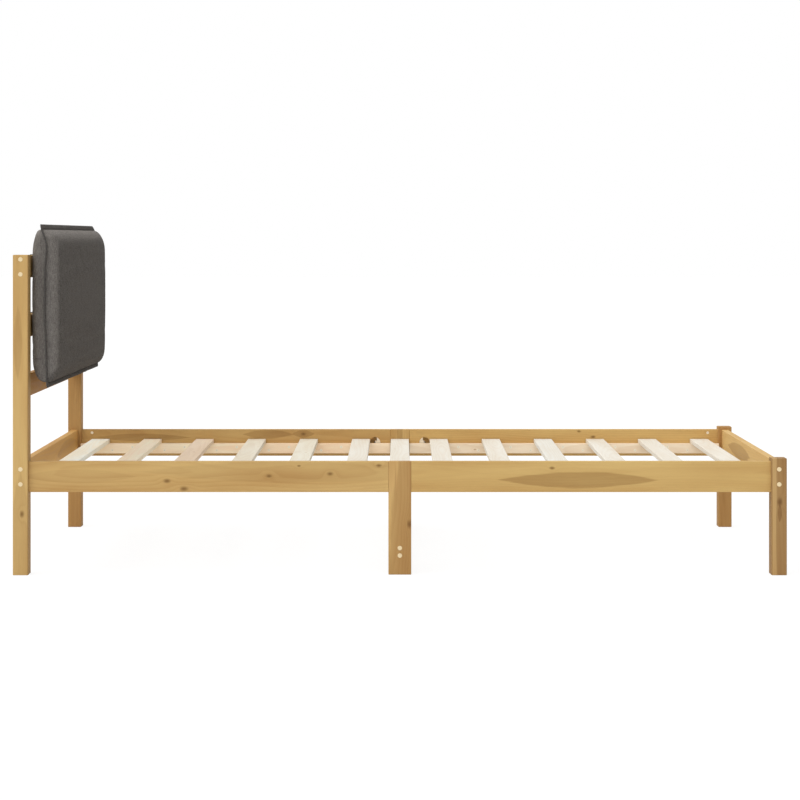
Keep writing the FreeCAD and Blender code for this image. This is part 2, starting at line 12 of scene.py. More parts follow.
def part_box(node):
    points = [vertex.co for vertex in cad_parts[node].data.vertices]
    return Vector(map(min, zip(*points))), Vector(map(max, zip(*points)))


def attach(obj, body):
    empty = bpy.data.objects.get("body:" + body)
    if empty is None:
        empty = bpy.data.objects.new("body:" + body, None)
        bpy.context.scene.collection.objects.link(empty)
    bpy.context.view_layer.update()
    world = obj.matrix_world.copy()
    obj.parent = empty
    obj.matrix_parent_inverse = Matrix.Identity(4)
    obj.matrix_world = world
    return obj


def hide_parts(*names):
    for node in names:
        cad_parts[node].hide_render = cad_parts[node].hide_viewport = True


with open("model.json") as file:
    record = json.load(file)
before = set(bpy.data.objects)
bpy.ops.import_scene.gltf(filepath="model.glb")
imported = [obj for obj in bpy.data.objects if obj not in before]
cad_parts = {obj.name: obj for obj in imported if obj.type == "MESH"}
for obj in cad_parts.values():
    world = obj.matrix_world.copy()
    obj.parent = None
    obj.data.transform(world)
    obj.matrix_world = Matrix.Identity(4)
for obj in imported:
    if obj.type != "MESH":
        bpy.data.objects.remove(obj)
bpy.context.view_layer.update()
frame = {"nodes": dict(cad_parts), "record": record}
nodes = frame["nodes"]

ROOT = "root"
WHITE = (1, 1, 1, 1)
# The corners of a rectangle in order, as signs of its half sizes
CORNERS = ((-1, -1), (1, -1), (1, 1), (-1, 1))

# Camera: level, square to the bed's side, with the lens shifted down as the photograph shows it
CAMERA_AT = (0.0, -5.9996, 0.8998)
LENS_MM = 93.31
SENSOR_MM = 36
SHIFT = (0.0002, -0.2034)

# Lights: the way towards each, its strength and the angle that it spreads over
LIGHTS = {
    "key": ((-0.50, -0.25, 0.83), 0.55, 30),
    "fill": ((0.0, -0.94, 0.34), 0.5, 50),
}

# World: how strong it shines from the sides, how much less from the foot's end and more from above
WORLD_STRENGTH = 0.56
WORLD_FALL = 0.45
WORLD_RISE = 0.50

# Floor: what it sends back to the bed, and what it shows and shines where it is seen
FLOOR_REACH = 40
FLOOR_BOUNCE = (0.8, 0.8, 0.8, 1)
FLOOR_SEEN = (0.16, 0.16, 0.16, 1)
FLOOR_GLOW = 0.88


def srgb(red, green, blue):
    """A colour as it looks on screen, 0 to 255, in Blender's linear values."""
    shares = [c / 255 for c in (red, green, blue)]
    return [s / 12.92 if s <= 0.04045 else ((s + 0.055) / 1.055) ** 2.4 for s in shares] + [1.0]


class Graph:
    """A material's node graph, built by short calls that give back sockets."""

    def __init__(self, name):
        self.material = bpy.data.materials.new(name)
        self.material.use_nodes = True
        self.tree = self.material.node_tree
        self.tree.nodes.clear()

    @classmethod
    def of_tree(cls, tree):
        """A graph on a tree that exists, such as the world's."""
        graph = cls.__new__(cls)
        graph.tree = tree
        tree.nodes.clear()
        return graph

    def seen(self):
        """1 where the camera, or a mirror or glass on the way to it, sees this surface."""
        rays = self.node("LightPath").outputs
        direct = self.math("MAXIMUM", rays["Is Camera Ray"], rays["Is Glossy Ray"])
        return self.math("MAXIMUM", direct, rays["Is Transmission Ray"])

    def node(self, kind, inputs=(), **settings):
        """A new node, with each input linked to a socket or set to a value."""
        made = self.tree.nodes.new("ShaderNode" + kind)
        for key, setting in settings.items():
            setattr(made, key, setting)
        for key, given in dict(inputs).items():
            if isinstance(given, bpy.types.NodeSocket):
                self.tree.links.new(given, made.inputs[key])
            else:
                made.inputs[key].default_value = given
        return made

    def math(self, operation, *values):
        """One calculation on sockets or numbers."""
        return self.node("Math", enumerate(values), operation=operation).outputs[0]

    def total(self, values):
        """The sum of several sockets."""
        result = values[0]
        for other in values[1:]:
            result = self.math("ADD", result, other)
        return result

    def combine(self, x, y, z):
        """A vector of three sockets or numbers."""
        return self.node("CombineXYZ", enumerate((x, y, z))).outputs[0]

    def length(self, x, y):
        """How long a vector in a plane is."""
        vector = self.combine(x, y, 0.0)
        return self.node("VectorMath", {0: vector}, operation="LENGTH").outputs["Value"]

    def noise(self, vector, scale, detail=2.0, rough=0.5):
        """Soft noise between about 0 and 1."""
        inputs = {"Vector": vector, "Scale": scale, "Detail": detail, "Roughness": rough}
        return self.node("TexNoise", inputs).outputs["Fac"]

    def sway(self, value, amount):
        """A value between 0 and 1, brought to swing about 0 by an amount from end to end."""
        return self.math("MULTIPLY_ADD", value, amount, -amount / 2)

    def span(self, value, low, high, to_low=0.0, to_high=1.0, smooth=True):
        """A value between low and high, brought to lie between two others and held there."""
        inputs = {"Value": value, "From Min": low, "From Max": high, "To Min": to_low, "To Max": to_high}
        kind = "SMOOTHSTEP" if smooth else "LINEAR"
        return self.node("MapRange", inputs, interpolation_type=kind).outputs[0]

    def mix(self, factor, first, second, blend="MIX"):
        """Two colours mixed or blended by a factor."""
        made = self.node("Mix", {0: factor, 6: first, 7: second}, data_type="RGBA", blend_type=blend)
        return made.outputs[2]

    def place(self):
        """Where a point lies in the bed's frame, in metres."""
        return self.node("TexCoord").outputs["Object"]

    def coords(self):
        """The same place as three sockets."""
        return self.node("SeparateXYZ", {0: self.place()}).outputs

    def surface(self, colour, rough, bump=None, bump_depth=0.0, **more):
        """Finish the material with one shader; more names its other inputs, with _ for a space."""
        inputs = {"Base Color": colour, "Roughness": rough}
        inputs.update({key.replace("_", " "): given for key, given in more.items()})
        if bump is not None:
            bumped = self.node("Bump", {"Height": bump, "Distance": bump_depth, "Strength": 1.0})
            inputs["Normal"] = bumped.outputs[0]
        shader = self.node("BsdfPrincipled", inputs)
        self.node("OutputMaterial", {"Surface": shader.outputs[0]})
        return self.material


def mesh_object(name, vertices, faces, material):
    """A new mesh in the scene, with one material."""
    mesh = bpy.data.meshes.new(name)
    mesh.from_pydata([tuple(v) for v in vertices], [], faces)
    mesh.validate()
    made = bpy.data.objects.new(name, mesh)
    bpy.context.scene.collection.objects.link(made)
    mesh.materials.append(material)
    return made


def smooth(made):
    """Shade all faces of a mesh smoothly."""
    for polygon in made.data.polygons:
        polygon.use_smooth = True


def face_outward(made):
    """Turn a closed mesh's faces outward."""
    shape = bmesh.new()
    shape.from_mesh(made.data)
    bmesh.ops.recalc_face_normals(shape, faces=shape.faces)
    shape.to_mesh(made.data)
    shape.free()


# Timber

WAXED = dict(early=(207, 173, 113), late=(182, 140, 84), knot=(112, 78, 42), ring=0.0052, contrast=0.21)
RAW = dict(early=(238, 232, 219), late=(227, 214, 193), knot=(190, 162, 126), ring=0.0044, contrast=0.35)
PLANED = dict(early=(242, 225, 201), late=(227, 203, 174), knot=(182, 144, 106), ring=0.0042, contrast=0.35)

# Rings: how far they wander along the board and ripple, how far beside the board their pith lies, and over
# which shares of a ring its latewood comes in and goes out
WANDER, RIPPLE = 0.05, 0.004
PITH_ASIDE = (0.03, 0.07)
LATE_IN, LATE_OUT = (0.25, 0.85), (1.0, 0.88)
# Broad bands: how strongly they darken the board, and how much of them is left pale
BAND_STRENGTH, BAND_PALE = 2.0, 0.75
# Fibres: the shades between which they lie, and how deep they and the latewood stand out
FIBRE_SHADES = (0.93, 1.05)
RELIEF, LATE_RELIEF = 0.00012, 0.6
# Polish: roughness of early and late wood, and how little it mirrors
EARLY_ROUGH, LATE_ROUGH = 0.66, 0.54
MIRROR = 0.12
# A knot: its width over its length, how far it pushes the rings aside and how fast that fades, where its rim
# starts and ends in radii and how ragged it is, how dark it is, and how far it keeps from a board's edges
KNOT_SQUASH = 0.6
KNOT_PUSH, KNOT_FADE = 1.2, -0.2
KNOT_RIM = (1.65, 0.45)
KNOT_RAGGED = 0.6
KNOT_DEPTH = 0.75
KNOT_FROM_END, KNOT_FROM_EDGE = 0.05, 0.01
# Heartwood: how it darkens the board, where its rim starts and ends, and how ragged it is
HEART_COLOUR = (0.62, 0.55, 0.50, 1.0)
HEART_RIM = (1.08, 0.86)
HEART_RAGGED = 0.5
# Knots of a board that lists none: how many, and the radii that they lie between; every other slat has one
WAXED_KNOTS = (3, (0.004, 0.007))
LEDGER_KNOTS = (2, (0.003, 0.005))
SLAT_KNOT = (0.002, 0.004)


def knot_figure(graph, u, v, streak, knots):
    """How far each knot pushes the rings aside, and the dark core of all of them, or None without any.

    u and v run along and across the board from its middle, and so do the knots' places.
    """
    pushes = []
    core = None
    for along, across, radius in knots:
        du = graph.math("MULTIPLY", graph.math("SUBTRACT", u, along), KNOT_SQUASH)
        dv = graph.math("SUBTRACT", v, across)
        away = graph.math("DIVIDE", graph.length(du, dv), radius)
        fall = graph.math("EXPONENT", graph.math("MULTIPLY", graph.math("MULTIPLY", away, away), KNOT_FADE))
        pushes.append(graph.math("MULTIPLY", fall, KNOT_PUSH * radius))
        ragged = graph.math("MULTIPLY_ADD", graph.noise(streak, 420.0, 2.0), KNOT_RAGGED, away)
        spot = graph.span(ragged, *KNOT_RIM)
        core = spot if core is None else graph.math("MAXIMUM", core, spot)
    return pushes, core


def heart_figure(graph, u, v, streak, place, halves):
    """1 inside a pointed patch of heartwood along the grain, 0 outside it, from its place and half sizes."""
    du = graph.math("DIVIDE", graph.math("SUBTRACT", u, place[0]), halves[0])
    dv = graph.math("DIVIDE", graph.math("SUBTRACT", v, place[1]), halves[1])
    edge = graph.sway(graph.noise(streak, 150.0, 3.0), HEART_RAGGED)
    lens = graph.total([graph.math("ABSOLUTE", dv), graph.math("MULTIPLY", du, du), edge])
    return graph.span(lens, *HEART_RIM)


def wood(name, look, node, order, seed, tint=(1.0, 1.0, 1.0), calm=1.0, knots=(), hearts=()):
    """Pine cut from a log: growth rings about a pith beside the board, fibres, knots and heartwood.

    order says which axes of the bed run along the grain, across the face and through the board,
    and calm is the share of the rings' contrast that the board shows.
    knots are (along, across, radius) and hearts (along, across, half length, half width, strength),
    in metres in the bed's frame.
    """
    chance = random.Random(seed)
    graph = Graph(name)
    low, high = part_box(node)
    middle = (low + high) / 2
    axes = ["XYZ".index(letter) for letter in order]
    sockets = graph.coords()
    u, v, w = (graph.math("SUBTRACT", sockets[axis], middle[axis]) for axis in axes)
    middle_u, middle_v = middle[axes[0]], middle[axes[1]]
    shift = chance.uniform(3, 40)

    def drawn(share):
        """The place in the board with its length drawn together, so that noise runs along the grain."""
        return graph.combine(graph.math("MULTIPLY_ADD", u, share, shift), v, w)

    wander = graph.sway(graph.noise(drawn(0.9), 1.6, 1.0), WANDER)
    streak = drawn(0.05)
    ripple = graph.sway(graph.noise(streak, 60.0, 3.0), RIPPLE)
    own_knots = [(along - middle_u, across - middle_v, radius) for along, across, radius in knots]
    pushes, core = knot_figure(graph, u, v, streak, own_knots)

    pith_v = chance.uniform(-0.5, 0.5) * (high - low)[axes[1]]
    pith_w = chance.choice((-1, 1)) * chance.uniform(*PITH_ASIDE)
    from_pith = graph.length(graph.math("ADD", v, pith_v), graph.math("ADD", w, pith_w))
    radius = graph.total([from_pith, wander, ripple] + pushes)
    phase = graph.math("FRACT", graph.math("DIVIDE", radius, look["ring"]))
    latewood = graph.math("MULTIPLY", graph.span(phase, *LATE_IN), graph.span(phase, *LATE_OUT))
    fibres = graph.noise(graph.combine(graph.math("MULTIPLY", u, 0.02), v, w), 1500.0, 3.0, 0.6)
    bands = graph.noise(drawn(0.12), 16.0, 2.0)

    tinted = [srgb(*(min(255, c * t) for c, t in zip(look[key], tint))) for key in ("early", "late", "knot")]
    early, late, knot = tinted
    amount = graph.math("MULTIPLY", latewood, calm * look["contrast"])
    amount = graph.math("ADD", amount, graph.math("MULTIPLY_ADD", bands, BAND_STRENGTH, -BAND_PALE))
    colour = graph.mix(graph.span(amount, 0.0, 1.0, smooth=False), early, late)
    for along, across, half_length, half_width, strength in hearts:
        place = (along - middle_u, across - middle_v)
        inside = heart_figure(graph, u, v, streak, place, (half_length, half_width))
        colour = graph.mix(graph.math("MULTIPLY", inside, strength), colour, HEART_COLOUR, "MULTIPLY")
    shade = graph.span(fibres, 0.25, 0.75, *FIBRE_SHADES, smooth=False)
    colour = graph.mix(1.0, colour, graph.combine(shade, shade, shade), "MULTIPLY")
    if core is not None:
        colour = graph.mix(graph.math("MULTIPLY", core, KNOT_DEPTH), colour, knot)
    rough = graph.span(graph.math("ADD", latewood, fibres), 0.2, 1.6, EARLY_ROUGH, LATE_ROUGH)
    relief = graph.math("MULTIPLY_ADD", latewood, LATE_RELIEF, fibres)
    return graph.surface(colour, rough, relief, RELIEF, Specular_IOR_Level=MIRROR)


def random_knots(node, order, seed, count, radii):
    """A few knots at places chosen by a seed, away from the board's edges."""
    chance = random.Random(seed)
    low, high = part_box(node)
    along, across = ("XYZ".index(letter) for letter in order[:2])
    knots = []
    for _ in range(count):
        place_along = chance.uniform(low[along] + KNOT_FROM_END, high[along] - KNOT_FROM_END)
        place_across = chance.uniform(low[across] + KNOT_FROM_EDGE, high[across] - KNOT_FROM_EDGE)
        knots.append((place_along, place_across, chance.uniform(*radii)))
    return knots


# Boards that the photograph shows: tint, knots and heartwood figure
SHOWN = {
    "side_rail_right_head": dict(
        knots=[(-0.621, 0.250, 0.006), (-0.576, 0.229, 0.007), (-0.349, 0.263, 0.005),
               (-0.269, 0.290, 0.003), (-0.186, 0.269, 0.0055), (-0.056, 0.291, 0.005)],
        hearts=[(-0.28, 0.275, 0.42, 0.030, 0.22), (-0.86, 0.262, 0.16, 0.018, 0.18)]),
    "side_rail_right_foot": dict(
        tint=(1.015, 1.025, 1.01), calm=0.5, knots=[(0.406, 0.2845, 0.0045)],
        hearts=[(0.478, 0.2526, 0.215, 0.0225, 0.7)]),
    "side_rail_left_head": dict(
        tint=(0.98, 0.97, 0.96), knots=[(-0.300, 0.288, 0.005)],
        hearts=[(-0.80, 0.277, 0.15, 0.012, 0.6), (-0.41, 0.287, 0.08, 0.014, 0.55),
                (-0.30, 0.288, 0.035, 0.012, 0.6)]),
    "side_rail_left_foot": dict(
        tint=(1.02, 1.015, 0.99), knots=[(0.557, 0.296, 0.004), (0.601, 0.279, 0.005)]),
    # head_post_right's last heart, a thin dark strip on the face towards the cushion, is painted shade
    "head_post_right": dict(
        knots=[(0.163, -1.006, 0.006)],
        hearts=[(0.62, -1.017, 0.10, 0.012, 0.3), (0.08, -1.010, 0.20, 0.030, 0.3),
                (0.45, -0.9895, 0.90, 0.003, 0.5)]),
    "foot_post_right": dict(
        tint=(0.92, 0.90, 0.92), knots=[(0.195, 1.011, 0.0075)],
        hearts=[(0.15, 1.018, 0.40, 0.017, 0.75), (0.165, 1.011, 0.025, 0.006, 0.7),
                (0.15, 0.9895, 0.40, 0.003, 0.8)]),
    "middle_leg_right": dict(
        tint=(0.99, 0.97, 0.97), knots=[(0.135, 0.026, 0.007)],
        hearts=[(0.004, 0.020, 0.42, 0.052, 0.50)]),
    "head_post_left": dict(tint=(0.87, 0.81, 0.77), knots=[]),
    "foot_post_left": dict(tint=(0.90, 0.84, 0.80), knots=[]),
    "head_end_board": dict(tint=(1.04, 0.98, 0.89), knots=[], hearts=[(0.25, 0.262, 0.20, 0.030, 0.4)]),
    "foot_end_board": dict(tint=(1.08, 1.09, 1.10), knots=[], hearts=[(0.12, 0.268, 0.20, 0.022, 0.70)]),
    "headboard_top_rail": dict(knots=[]),
    "headboard_middle_rail": dict(knots=[]),
    # headboard_lower_rail is darker and browner, partly its own colour and partly painted shade in the gap
    # beside the cushion
    "headboard_lower_rail": dict(tint=(0.93, 0.83, 0.64), knots=[]),
    # slat_01 and slat_02 are lightened as painted light against the shade of the cushion and headboard;
    # slat_02 and slat_03 are also browner of their own
    "slat_01": dict(tint=(1.13, 1.13, 1.11)),
    "slat_02": dict(tint=(1.12, 1.04, 0.97)),
    "slat_03": dict(tint=(1.03, 0.96, 0.895)),
    "slat_04": dict(tint=(1.0, 0.985, 0.95)),
    "slat_05": dict(tint=(1.0, 1.0, 0.98)),
    "slat_10": dict(tint=(1.0, 1.018, 1.04)),
    "slat_ledger_left_head": dict(tint=(1.09, 1.065, 1.04), knots=[]),
    "slat_ledger_left_foot": dict(tint=(1.03, 1.03, 1.02)),
    "middle_leg_left": dict(hearts=[(0.27, 0.0, 0.25, 0.009, 0.5)]),
}
# The axes of the bed along the grain, across the face and through the board, by how a node's name starts
GRAIN = {
    "side_rail": "XZY", "slat_ledger": "XZY", "middle_cleat": "XZY",
    "head_post": "ZXY", "foot_post": "ZXY", "middle_leg_right": "ZXY", "middle_leg_left": "ZXY",
    "head_end": "YZX", "foot_end": "YZX", "headboard": "YZX", "middle_leg_stretcher": "YZX",
    "slat_": "YXZ",
}
LOOKS = {"waxed_pine": WAXED, "raw_pine": RAW, "planed_pine": PLANED}
SLOTS = {row["node"]: row["material_slot"] for row in frame["record"]["subparts"]}


def grain_of(node):
    """The axes of a board's grain, from the longest start of its name that is known."""
    found = max((start for start in GRAIN if node.startswith(start)), key=len)
    return GRAIN[found]


def dress(node, material):
    """Give a CAD node a material."""
    nodes[node].data.materials.clear()
    nodes[node].data.materials.append(material)


def dress_timber():
    """Give each board its own cut of pine, with the knots that the photograph shows or a few others."""
    for seed, node in enumerate(sorted(SLOTS)):
        slot = SLOTS[node]
        if slot not in LOOKS:
            continue
        order = grain_of(node)
        details = dict(SHOWN.get(node, {}))
        if slot == "waxed_pine" and "knots" not in details:
            details["knots"] = random_knots(node, order, seed, *WAXED_KNOTS)
        if node.startswith("slat_ledger") and "knots" not in details:
            details["knots"] = random_knots(node, order, seed, *LEDGER_KNOTS)
        if slot == "raw_pine":
            details["knots"] = random_knots(node, order, seed, seed % 2, SLAT_KNOT)
        dress(node, wood("wood_" + node, LOOKS[slot], node, order, seed, **details))


# Small pieces

# Pitches of the rods' thread and the straps' ribs
ROD_PITCH = 0.001
RIB_PITCH = 0.0018
# Screws: how far aside two islands of one screw may lie, and the colour of the drive, painted as the shade
# in its recess
SCREW_ASIDE = 0.001
RECESS_PAINTED_SHADE = (200, 188, 164)


def plug_material():
    """End grain: fine pale speckle."""
    graph = Graph("plug_end_grain")
    speckle = graph.noise(graph.place(), 900.0, 3.0)
    colour = graph.mix(speckle, srgb(240, 221, 180), srgb(228, 204, 158))
    return graph.surface(colour, 0.55, speckle, 0.0001)


def zinc_material():
    """Bright zinc plate with a slight cloud in its polish."""
    graph = Graph("zinc_plate")
    cloud = graph.noise(graph.place(), 220.0, 3.0)
    colour = graph.mix(cloud, srgb(252, 241, 218), srgb(238, 227, 204))
    return graph.surface(colour, graph.span(cloud, 0.2, 0.8, 0.34, 0.5), cloud, 0.00005, Metallic=0.25)


def thread_material(pitch):
    """Zinc plate with a thread cut round the X axis, its grooves painted darker as shade."""
    graph = Graph("zinc_thread_painted_groove_shade")
    turns = graph.math("DIVIDE", graph.coords()[0], pitch)
    ridge = graph.math("PINGPONG", turns, 0.5)
    # Painted shade: the grooves darker than the crests
    colour = graph.mix(ridge, srgb(120, 118, 112), srgb(205, 205, 200))
    return graph.surface(colour, 0.35, ridge, 0.0008, Metallic=1.0)


def webbing_material():
    """Dark woven tape, ribbed across its width."""
    graph = Graph("strap_webbing")
    rib = graph.math("PINGPONG", graph.math("DIVIDE", graph.coords()[1], RIB_PITCH), 0.5)
    fuzz = graph.noise(graph.place(), 800.0, 3.0)
    colour = graph.mix(fuzz, srgb(34, 34, 35), srgb(54, 54, 55))
    return graph.surface(colour, 0.9, graph.math("ADD", rib, fuzz), 0.0004, Sheen_Weight=0.2)


def matt_material(name, colour):
    """A matt colour with a fine uneven twist, for sewing thread, and for painted shade in recesses and on
    the flange's folded edge.
    """
    graph = Graph(name)
    twist = graph.noise(graph.place(), 2600.0, 2.0)
    lighter = [c + 22 for c in colour]
    return graph.surface(graph.mix(twist, srgb(*colour), srgb(*lighter)), 0.9, twist, 0.0002)


def head_way(way, place):
    """The way a screw's head faces along its axis, where 0 stands for towards the bed's middle."""
    return way if way else -math.copysign(1, place)


def head_centres(node, axis, way):
    """The middle of each screw's head in a group of screws that all point along one axis.

    A screw's mesh falls into several islands; those in line on one side of the bed are one screw.
    """
    mesh = nodes[node].data
    places = np.array([v.co for v in mesh.vertices])
    home = np.arange(len(places))

    def root_of(k):
        """The lowest vertex known so far in the island that a vertex belongs to."""
        while home[k] != k:
            home[k] = home[home[k]]
            k = home[k]
        return k

    for edge in mesh.edges:
        first, second = (root_of(k) for k in edge.vertices)
        home[max(first, second)] = min(first, second)
    roots = np.array([root_of(k) for k in range(len(places))])
    centres = []
    for root in np.unique(roots):
        own = places[roots == root]
        middle = (own.min(axis=0) + own.max(axis=0)) / 2
        out = head_way(way, middle[axis])
        middle[axis] = out * (own[:, axis] * out).max()
        for centre in centres:
            aside = np.linalg.norm(np.delete(centre - middle, axis))
            if aside < SCREW_ASIDE and centre[axis] * middle[axis] > 0:
                centre[axis] = out * max(centre[axis] * out, middle[axis] * out)
                break
        else:
            centres.append(middle)
    return centres


def screw_recesses(name, node, axis, way, material):
    """A cross drive in each screw head, drawn as a thin inlay of painted shade a little darker than the
    head.
    """
    arm, half, lift = 0.0021, 0.0005, 0.00008
    outline = [(arm, half), (half, half), (half, arm), (-half, arm), (-half, half), (-arm, half),
               (-arm, -half), (-half, -half), (-half, -arm), (half, -arm), (half, -half), (arm, -half)]
    flat = [k for k in range(3) if k != axis]
    vertices = []
    faces = []
    for centre in head_centres(node, axis, way):
        out = head_way(way, centre[axis])
        first = len(vertices)
        for height in (-lift, lift):
            for a, b in outline:
                place = list(centre)
                place[axis] += out * height
                place[flat[0]] += a
                place[flat[1]] += b
                vertices.append(place)
        count = len(outline)
        faces.append([first + k for k in range(count)][::-1])
        faces.append([first + count + k for k in range(count)])
        for k in range(count):
            a, b = first + k, first + (k + 1) % count
            faces.append([a, b, b + count, a + count])
    made = mesh_object(name, vertices, faces, material)
    face_outward(made)
    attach(made, ROOT)


def dress_small_pieces():
    """Give plugs, steel pieces and straps their materials, and the wood screws their drives."""
    plug = plug_material()
    zinc = zinc_material()
    for node, slot in SLOTS.items():
        if slot == "pale_plug_wood":
            dress(node, plug)
        elif slot == "zinc_steel":
            dress(node, zinc)
    # The drives' inlay is painted shade, darker than the heads
    recess = matt_material("recess_shadow", RECESS_PAINTED_SHADE)
    screw_recesses("slat_screw_drives", "slat_screws", axis=2, way=1, material=recess)
    screw_recesses("ledger_screw_drives", "ledger_screws", axis=1, way=0, material=recess)
    dress("middle_joint_rods", thread_material(ROD_PITCH))
    dress("cushion_straps", webbing_material())


# Cushion

# The sewing thread's colour, also painted on the flange's folded edge as its shade
THREAD_AND_EDGE_SHADE = (58, 56, 53)

# The seam's plane and the body's half sizes, from the covers' boxes and the flange's width
FLANGE_LOW, FLANGE_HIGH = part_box("cushion_front_cover")
BACK_LOW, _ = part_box("cushion_back_cover")
SEAM_X = FLANGE_LOW.x
FLANGE = 0.014
FLANGE_HALF = 0.0016
HALF_Y = FLANGE_HIGH.y - FLANGE
HALF_Z = (FLANGE_HIGH.z - FLANGE_LOW.z) / 2 - FLANGE
MIDDLE_Z = (FLANGE_HIGH.z + FLANGE_LOW.z) / 2

# Depths of the two halves, where the back reaches a little past its cover; how far the stuffing may swell;
# what the seam's reach loses when the mesh is made even; and the values of the simulation
FRONT_DEPTH = 0.0405
BACK_EXTRA = 0.001
BACK_DEPTH = SEAM_X - BACK_LOW.x + BACK_EXTRA
SWELLING = 0.004
SEAM_TRIM = 0.004
VOXEL = 0.005
PRESSURE = 4.0
SIM_FRAMES = 20

# Rolls at the sides, top and bottom: how far from the seam each half rises, and how squarely
FRONT_ROLLS = ((0.05, 3.0), (0.06, 2.0), (0.05, 2.4))
BACK_ROLLS = ((0.016, 3.0), (0.07, 3.2), (0.07, 3.2))
CROWN_Y, CROWN_Z = 0.02, 0.12

# The weave's pitch and its yarns, and the painted shade and highlight of the cloth's parts, each as a share
# of the weave's own
YARN = 0.0022
YARN_DARK, YARN_LIGHT = (94, 90, 86), (136, 131, 126)
# Painted shade darkens the front panel and the back; a painted highlight lightens the top roll
PANEL_PAINTED_SHADE, BACK_PAINTED_SHADE, TOP_PAINTED_HIGHLIGHT = 0.65, 0.94, 1.4
# Painted shade: the whole flange darker, and darker still along its bottom under the body
FLANGE_PAINTED_SHADE, FLANGE_LOW_PAINTED_SHADE = 0.68, 0.55
# Where the painted shade and highlight lie: the panel's shade from one distance before the seam to another,
# and sooner low down, so that the bottom roll is painted darker;
# the back's shade within a distance behind the seam; the top's highlight from one distance below the top
# seam to another
PANEL_FROM, PANEL_TO = 0.028, 0.038
PANEL_LOW, PANEL_SOONER = 0.045, 0.03
BACK_WITHIN = 0.004
TOP_FROM, TOP_TO = 0.030, 0.005

# The seam's bend: forward below the middle, bowed and folded back at the top, most at the near end
SEAM_AHEAD = 0.0012
KICK_FROM, KICK_SLOPE = 0.05, 0.039
NEAR_FROM = 0.36
BOW, BOW_FROM, BOW_TO = 0.003, 0.09, 0.16
FOLD, FOLD_MORE = 0.0078, 0.006
FOLD_FROM, FOLD_SOONER = 0.195, 0.035
WAVE, WAVES_PER_METRE = 0.0025, 14

# The zip: its height, how far behind the seam it runs on the sides, how far in it starts, and its radius
ZIP_Z = 0.574
ZIP_BEHIND = (0.010, 0.026)
ZIP_INSET = 0.02
ZIP_RADIUS = 0.0009


def fabric_material(name, middle, front, back, top):
    """A heathered weave of dark grey and lighter yarns; each part has a painted shade of its own, and the
    top roll a painted highlight.
    """
    graph = Graph(name)
    x, y, z = graph.coords()
    turn = 2 * math.pi / YARN
    sines = [graph.math("SINE", graph.math("MULTIPLY", axis, turn)) for axis in (x, y, z)]
    pairs = [graph.math("MULTIPLY", sines[i], sines[i - 1]) for i in range(3)]
    weave = graph.total(pairs)
    place = graph.combine(x, y, z)
    warp = graph.noise(graph.combine(x, graph.math("MULTIPLY", y, 0.15), z), 520.0, 2.0, 0.6)
    weft = graph.noise(graph.combine(x, y, graph.math("MULTIPLY", z, 0.15)), 520.0, 2.0, 0.6)
    cloud = graph.noise(place, 26.0, 3.0)
    speckle = graph.noise(place, 190.0, 2.0, 0.7)
    heather = graph.total([warp, weft, graph.sway(cloud, 0.15), graph.sway(speckle, 0.4)])
    colour = graph.mix(graph.span(heather, 0.6, 1.4), srgb(*YARN_DARK), srgb(*YARN_LIGHT))
    low_z, high_z = MIDDLE_Z - HALF_Z, MIDDLE_Z + HALF_Z
    # Painted shade on the front panel, the bottom roll and the back, and a painted highlight on the top roll
    ahead = graph.math("ADD", x, graph.span(z, low_z + PANEL_LOW, low_z, 0.0, PANEL_SOONER))
    panel = graph.span(ahead, SEAM_X + PANEL_FROM, SEAM_X + PANEL_TO, middle, front)
    behind = graph.span(x, SEAM_X, SEAM_X - BACK_WITHIN, 1.0, back)
    above = graph.span(z, high_z - TOP_FROM, high_z - TOP_TO, 1.0, top)
    shade = graph.math("MULTIPLY", graph.math("MULTIPLY", panel, behind), above)
    colour = graph.mix(1.0, colour, graph.combine(shade, shade, shade), "MULTIPLY")
    relief = graph.math("MULTIPLY_ADD", weave, 0.35, heather)
    return graph.surface(colour, 0.95, relief, 0.0004, Specular_IOR_Level=0.05)


def swell(distance, run, power):
    """How far the cushion has risen at a distance from its seam, as a share of its depth."""
    share = np.clip(distance / run, 0.0, 1.0)
    return (1 - (1 - share) ** power) ** (1 / power)


def rise_of(distances, rolls):
    """The rise of one half, from the distances to its sides, top and bottom."""
    side, top, bottom = (swell(distance, *roll) for distance, roll in zip(distances, rolls))
    return side * top * bottom


def cushion_form(material):
    """The stuffed body as a closed mesh: two faces that swell from one seam."""
    steps_y, steps_z = 140, 90
    reach_y, reach_z = HALF_Y + SEAM_TRIM, HALF_Z + SEAM_TRIM
    grid_y = reach_y * np.sin(np.linspace(-1, 1, steps_y + 1) * math.pi / 2)
    grid_z = reach_z * np.sin(np.linspace(-1, 1, steps_z + 1) * math.pi / 2)
    y, z = np.meshgrid(grid_y, grid_z, indexing="ij")
    distances = (reach_y - abs(y), reach_z - z, reach_z + z)
    front = rise_of(distances, FRONT_ROLLS)
    back = rise_of(distances, BACK_ROLLS)
    crown = 1 - CROWN_Y * (y / reach_y) ** 2 - CROWN_Z * (z / reach_z) ** 2
    vertices = []
    index = {}
    for way, rise, depth in ((1, front, FRONT_DEPTH - SWELLING), (-1, back, BACK_DEPTH - SWELLING)):
        for i in range(steps_y + 1):
            for j in range(steps_z + 1):
                edge = i in (0, steps_y) or j in (0, steps_z)
                if edge and way < 0:
                    index[way, i, j] = index[1, i, j]
                    continue
                index[way, i, j] = len(vertices)
                x = SEAM_X + way * depth * rise[i, j] * crown[i, j]
                vertices.append((x, y[i, j], MIDDLE_Z + z[i, j]))
    faces = []
    for way in (1, -1):
        for i in range(steps_y):
            for j in range(steps_z):
                corners = [(i, j), (i + 1, j), (i + 1, j + 1), (i, j + 1)][::way]
                faces.append([index[way, a, b] for a, b in corners])
    made = mesh_object("cushion_body", vertices, faces, material)
    smooth(made)
    return made


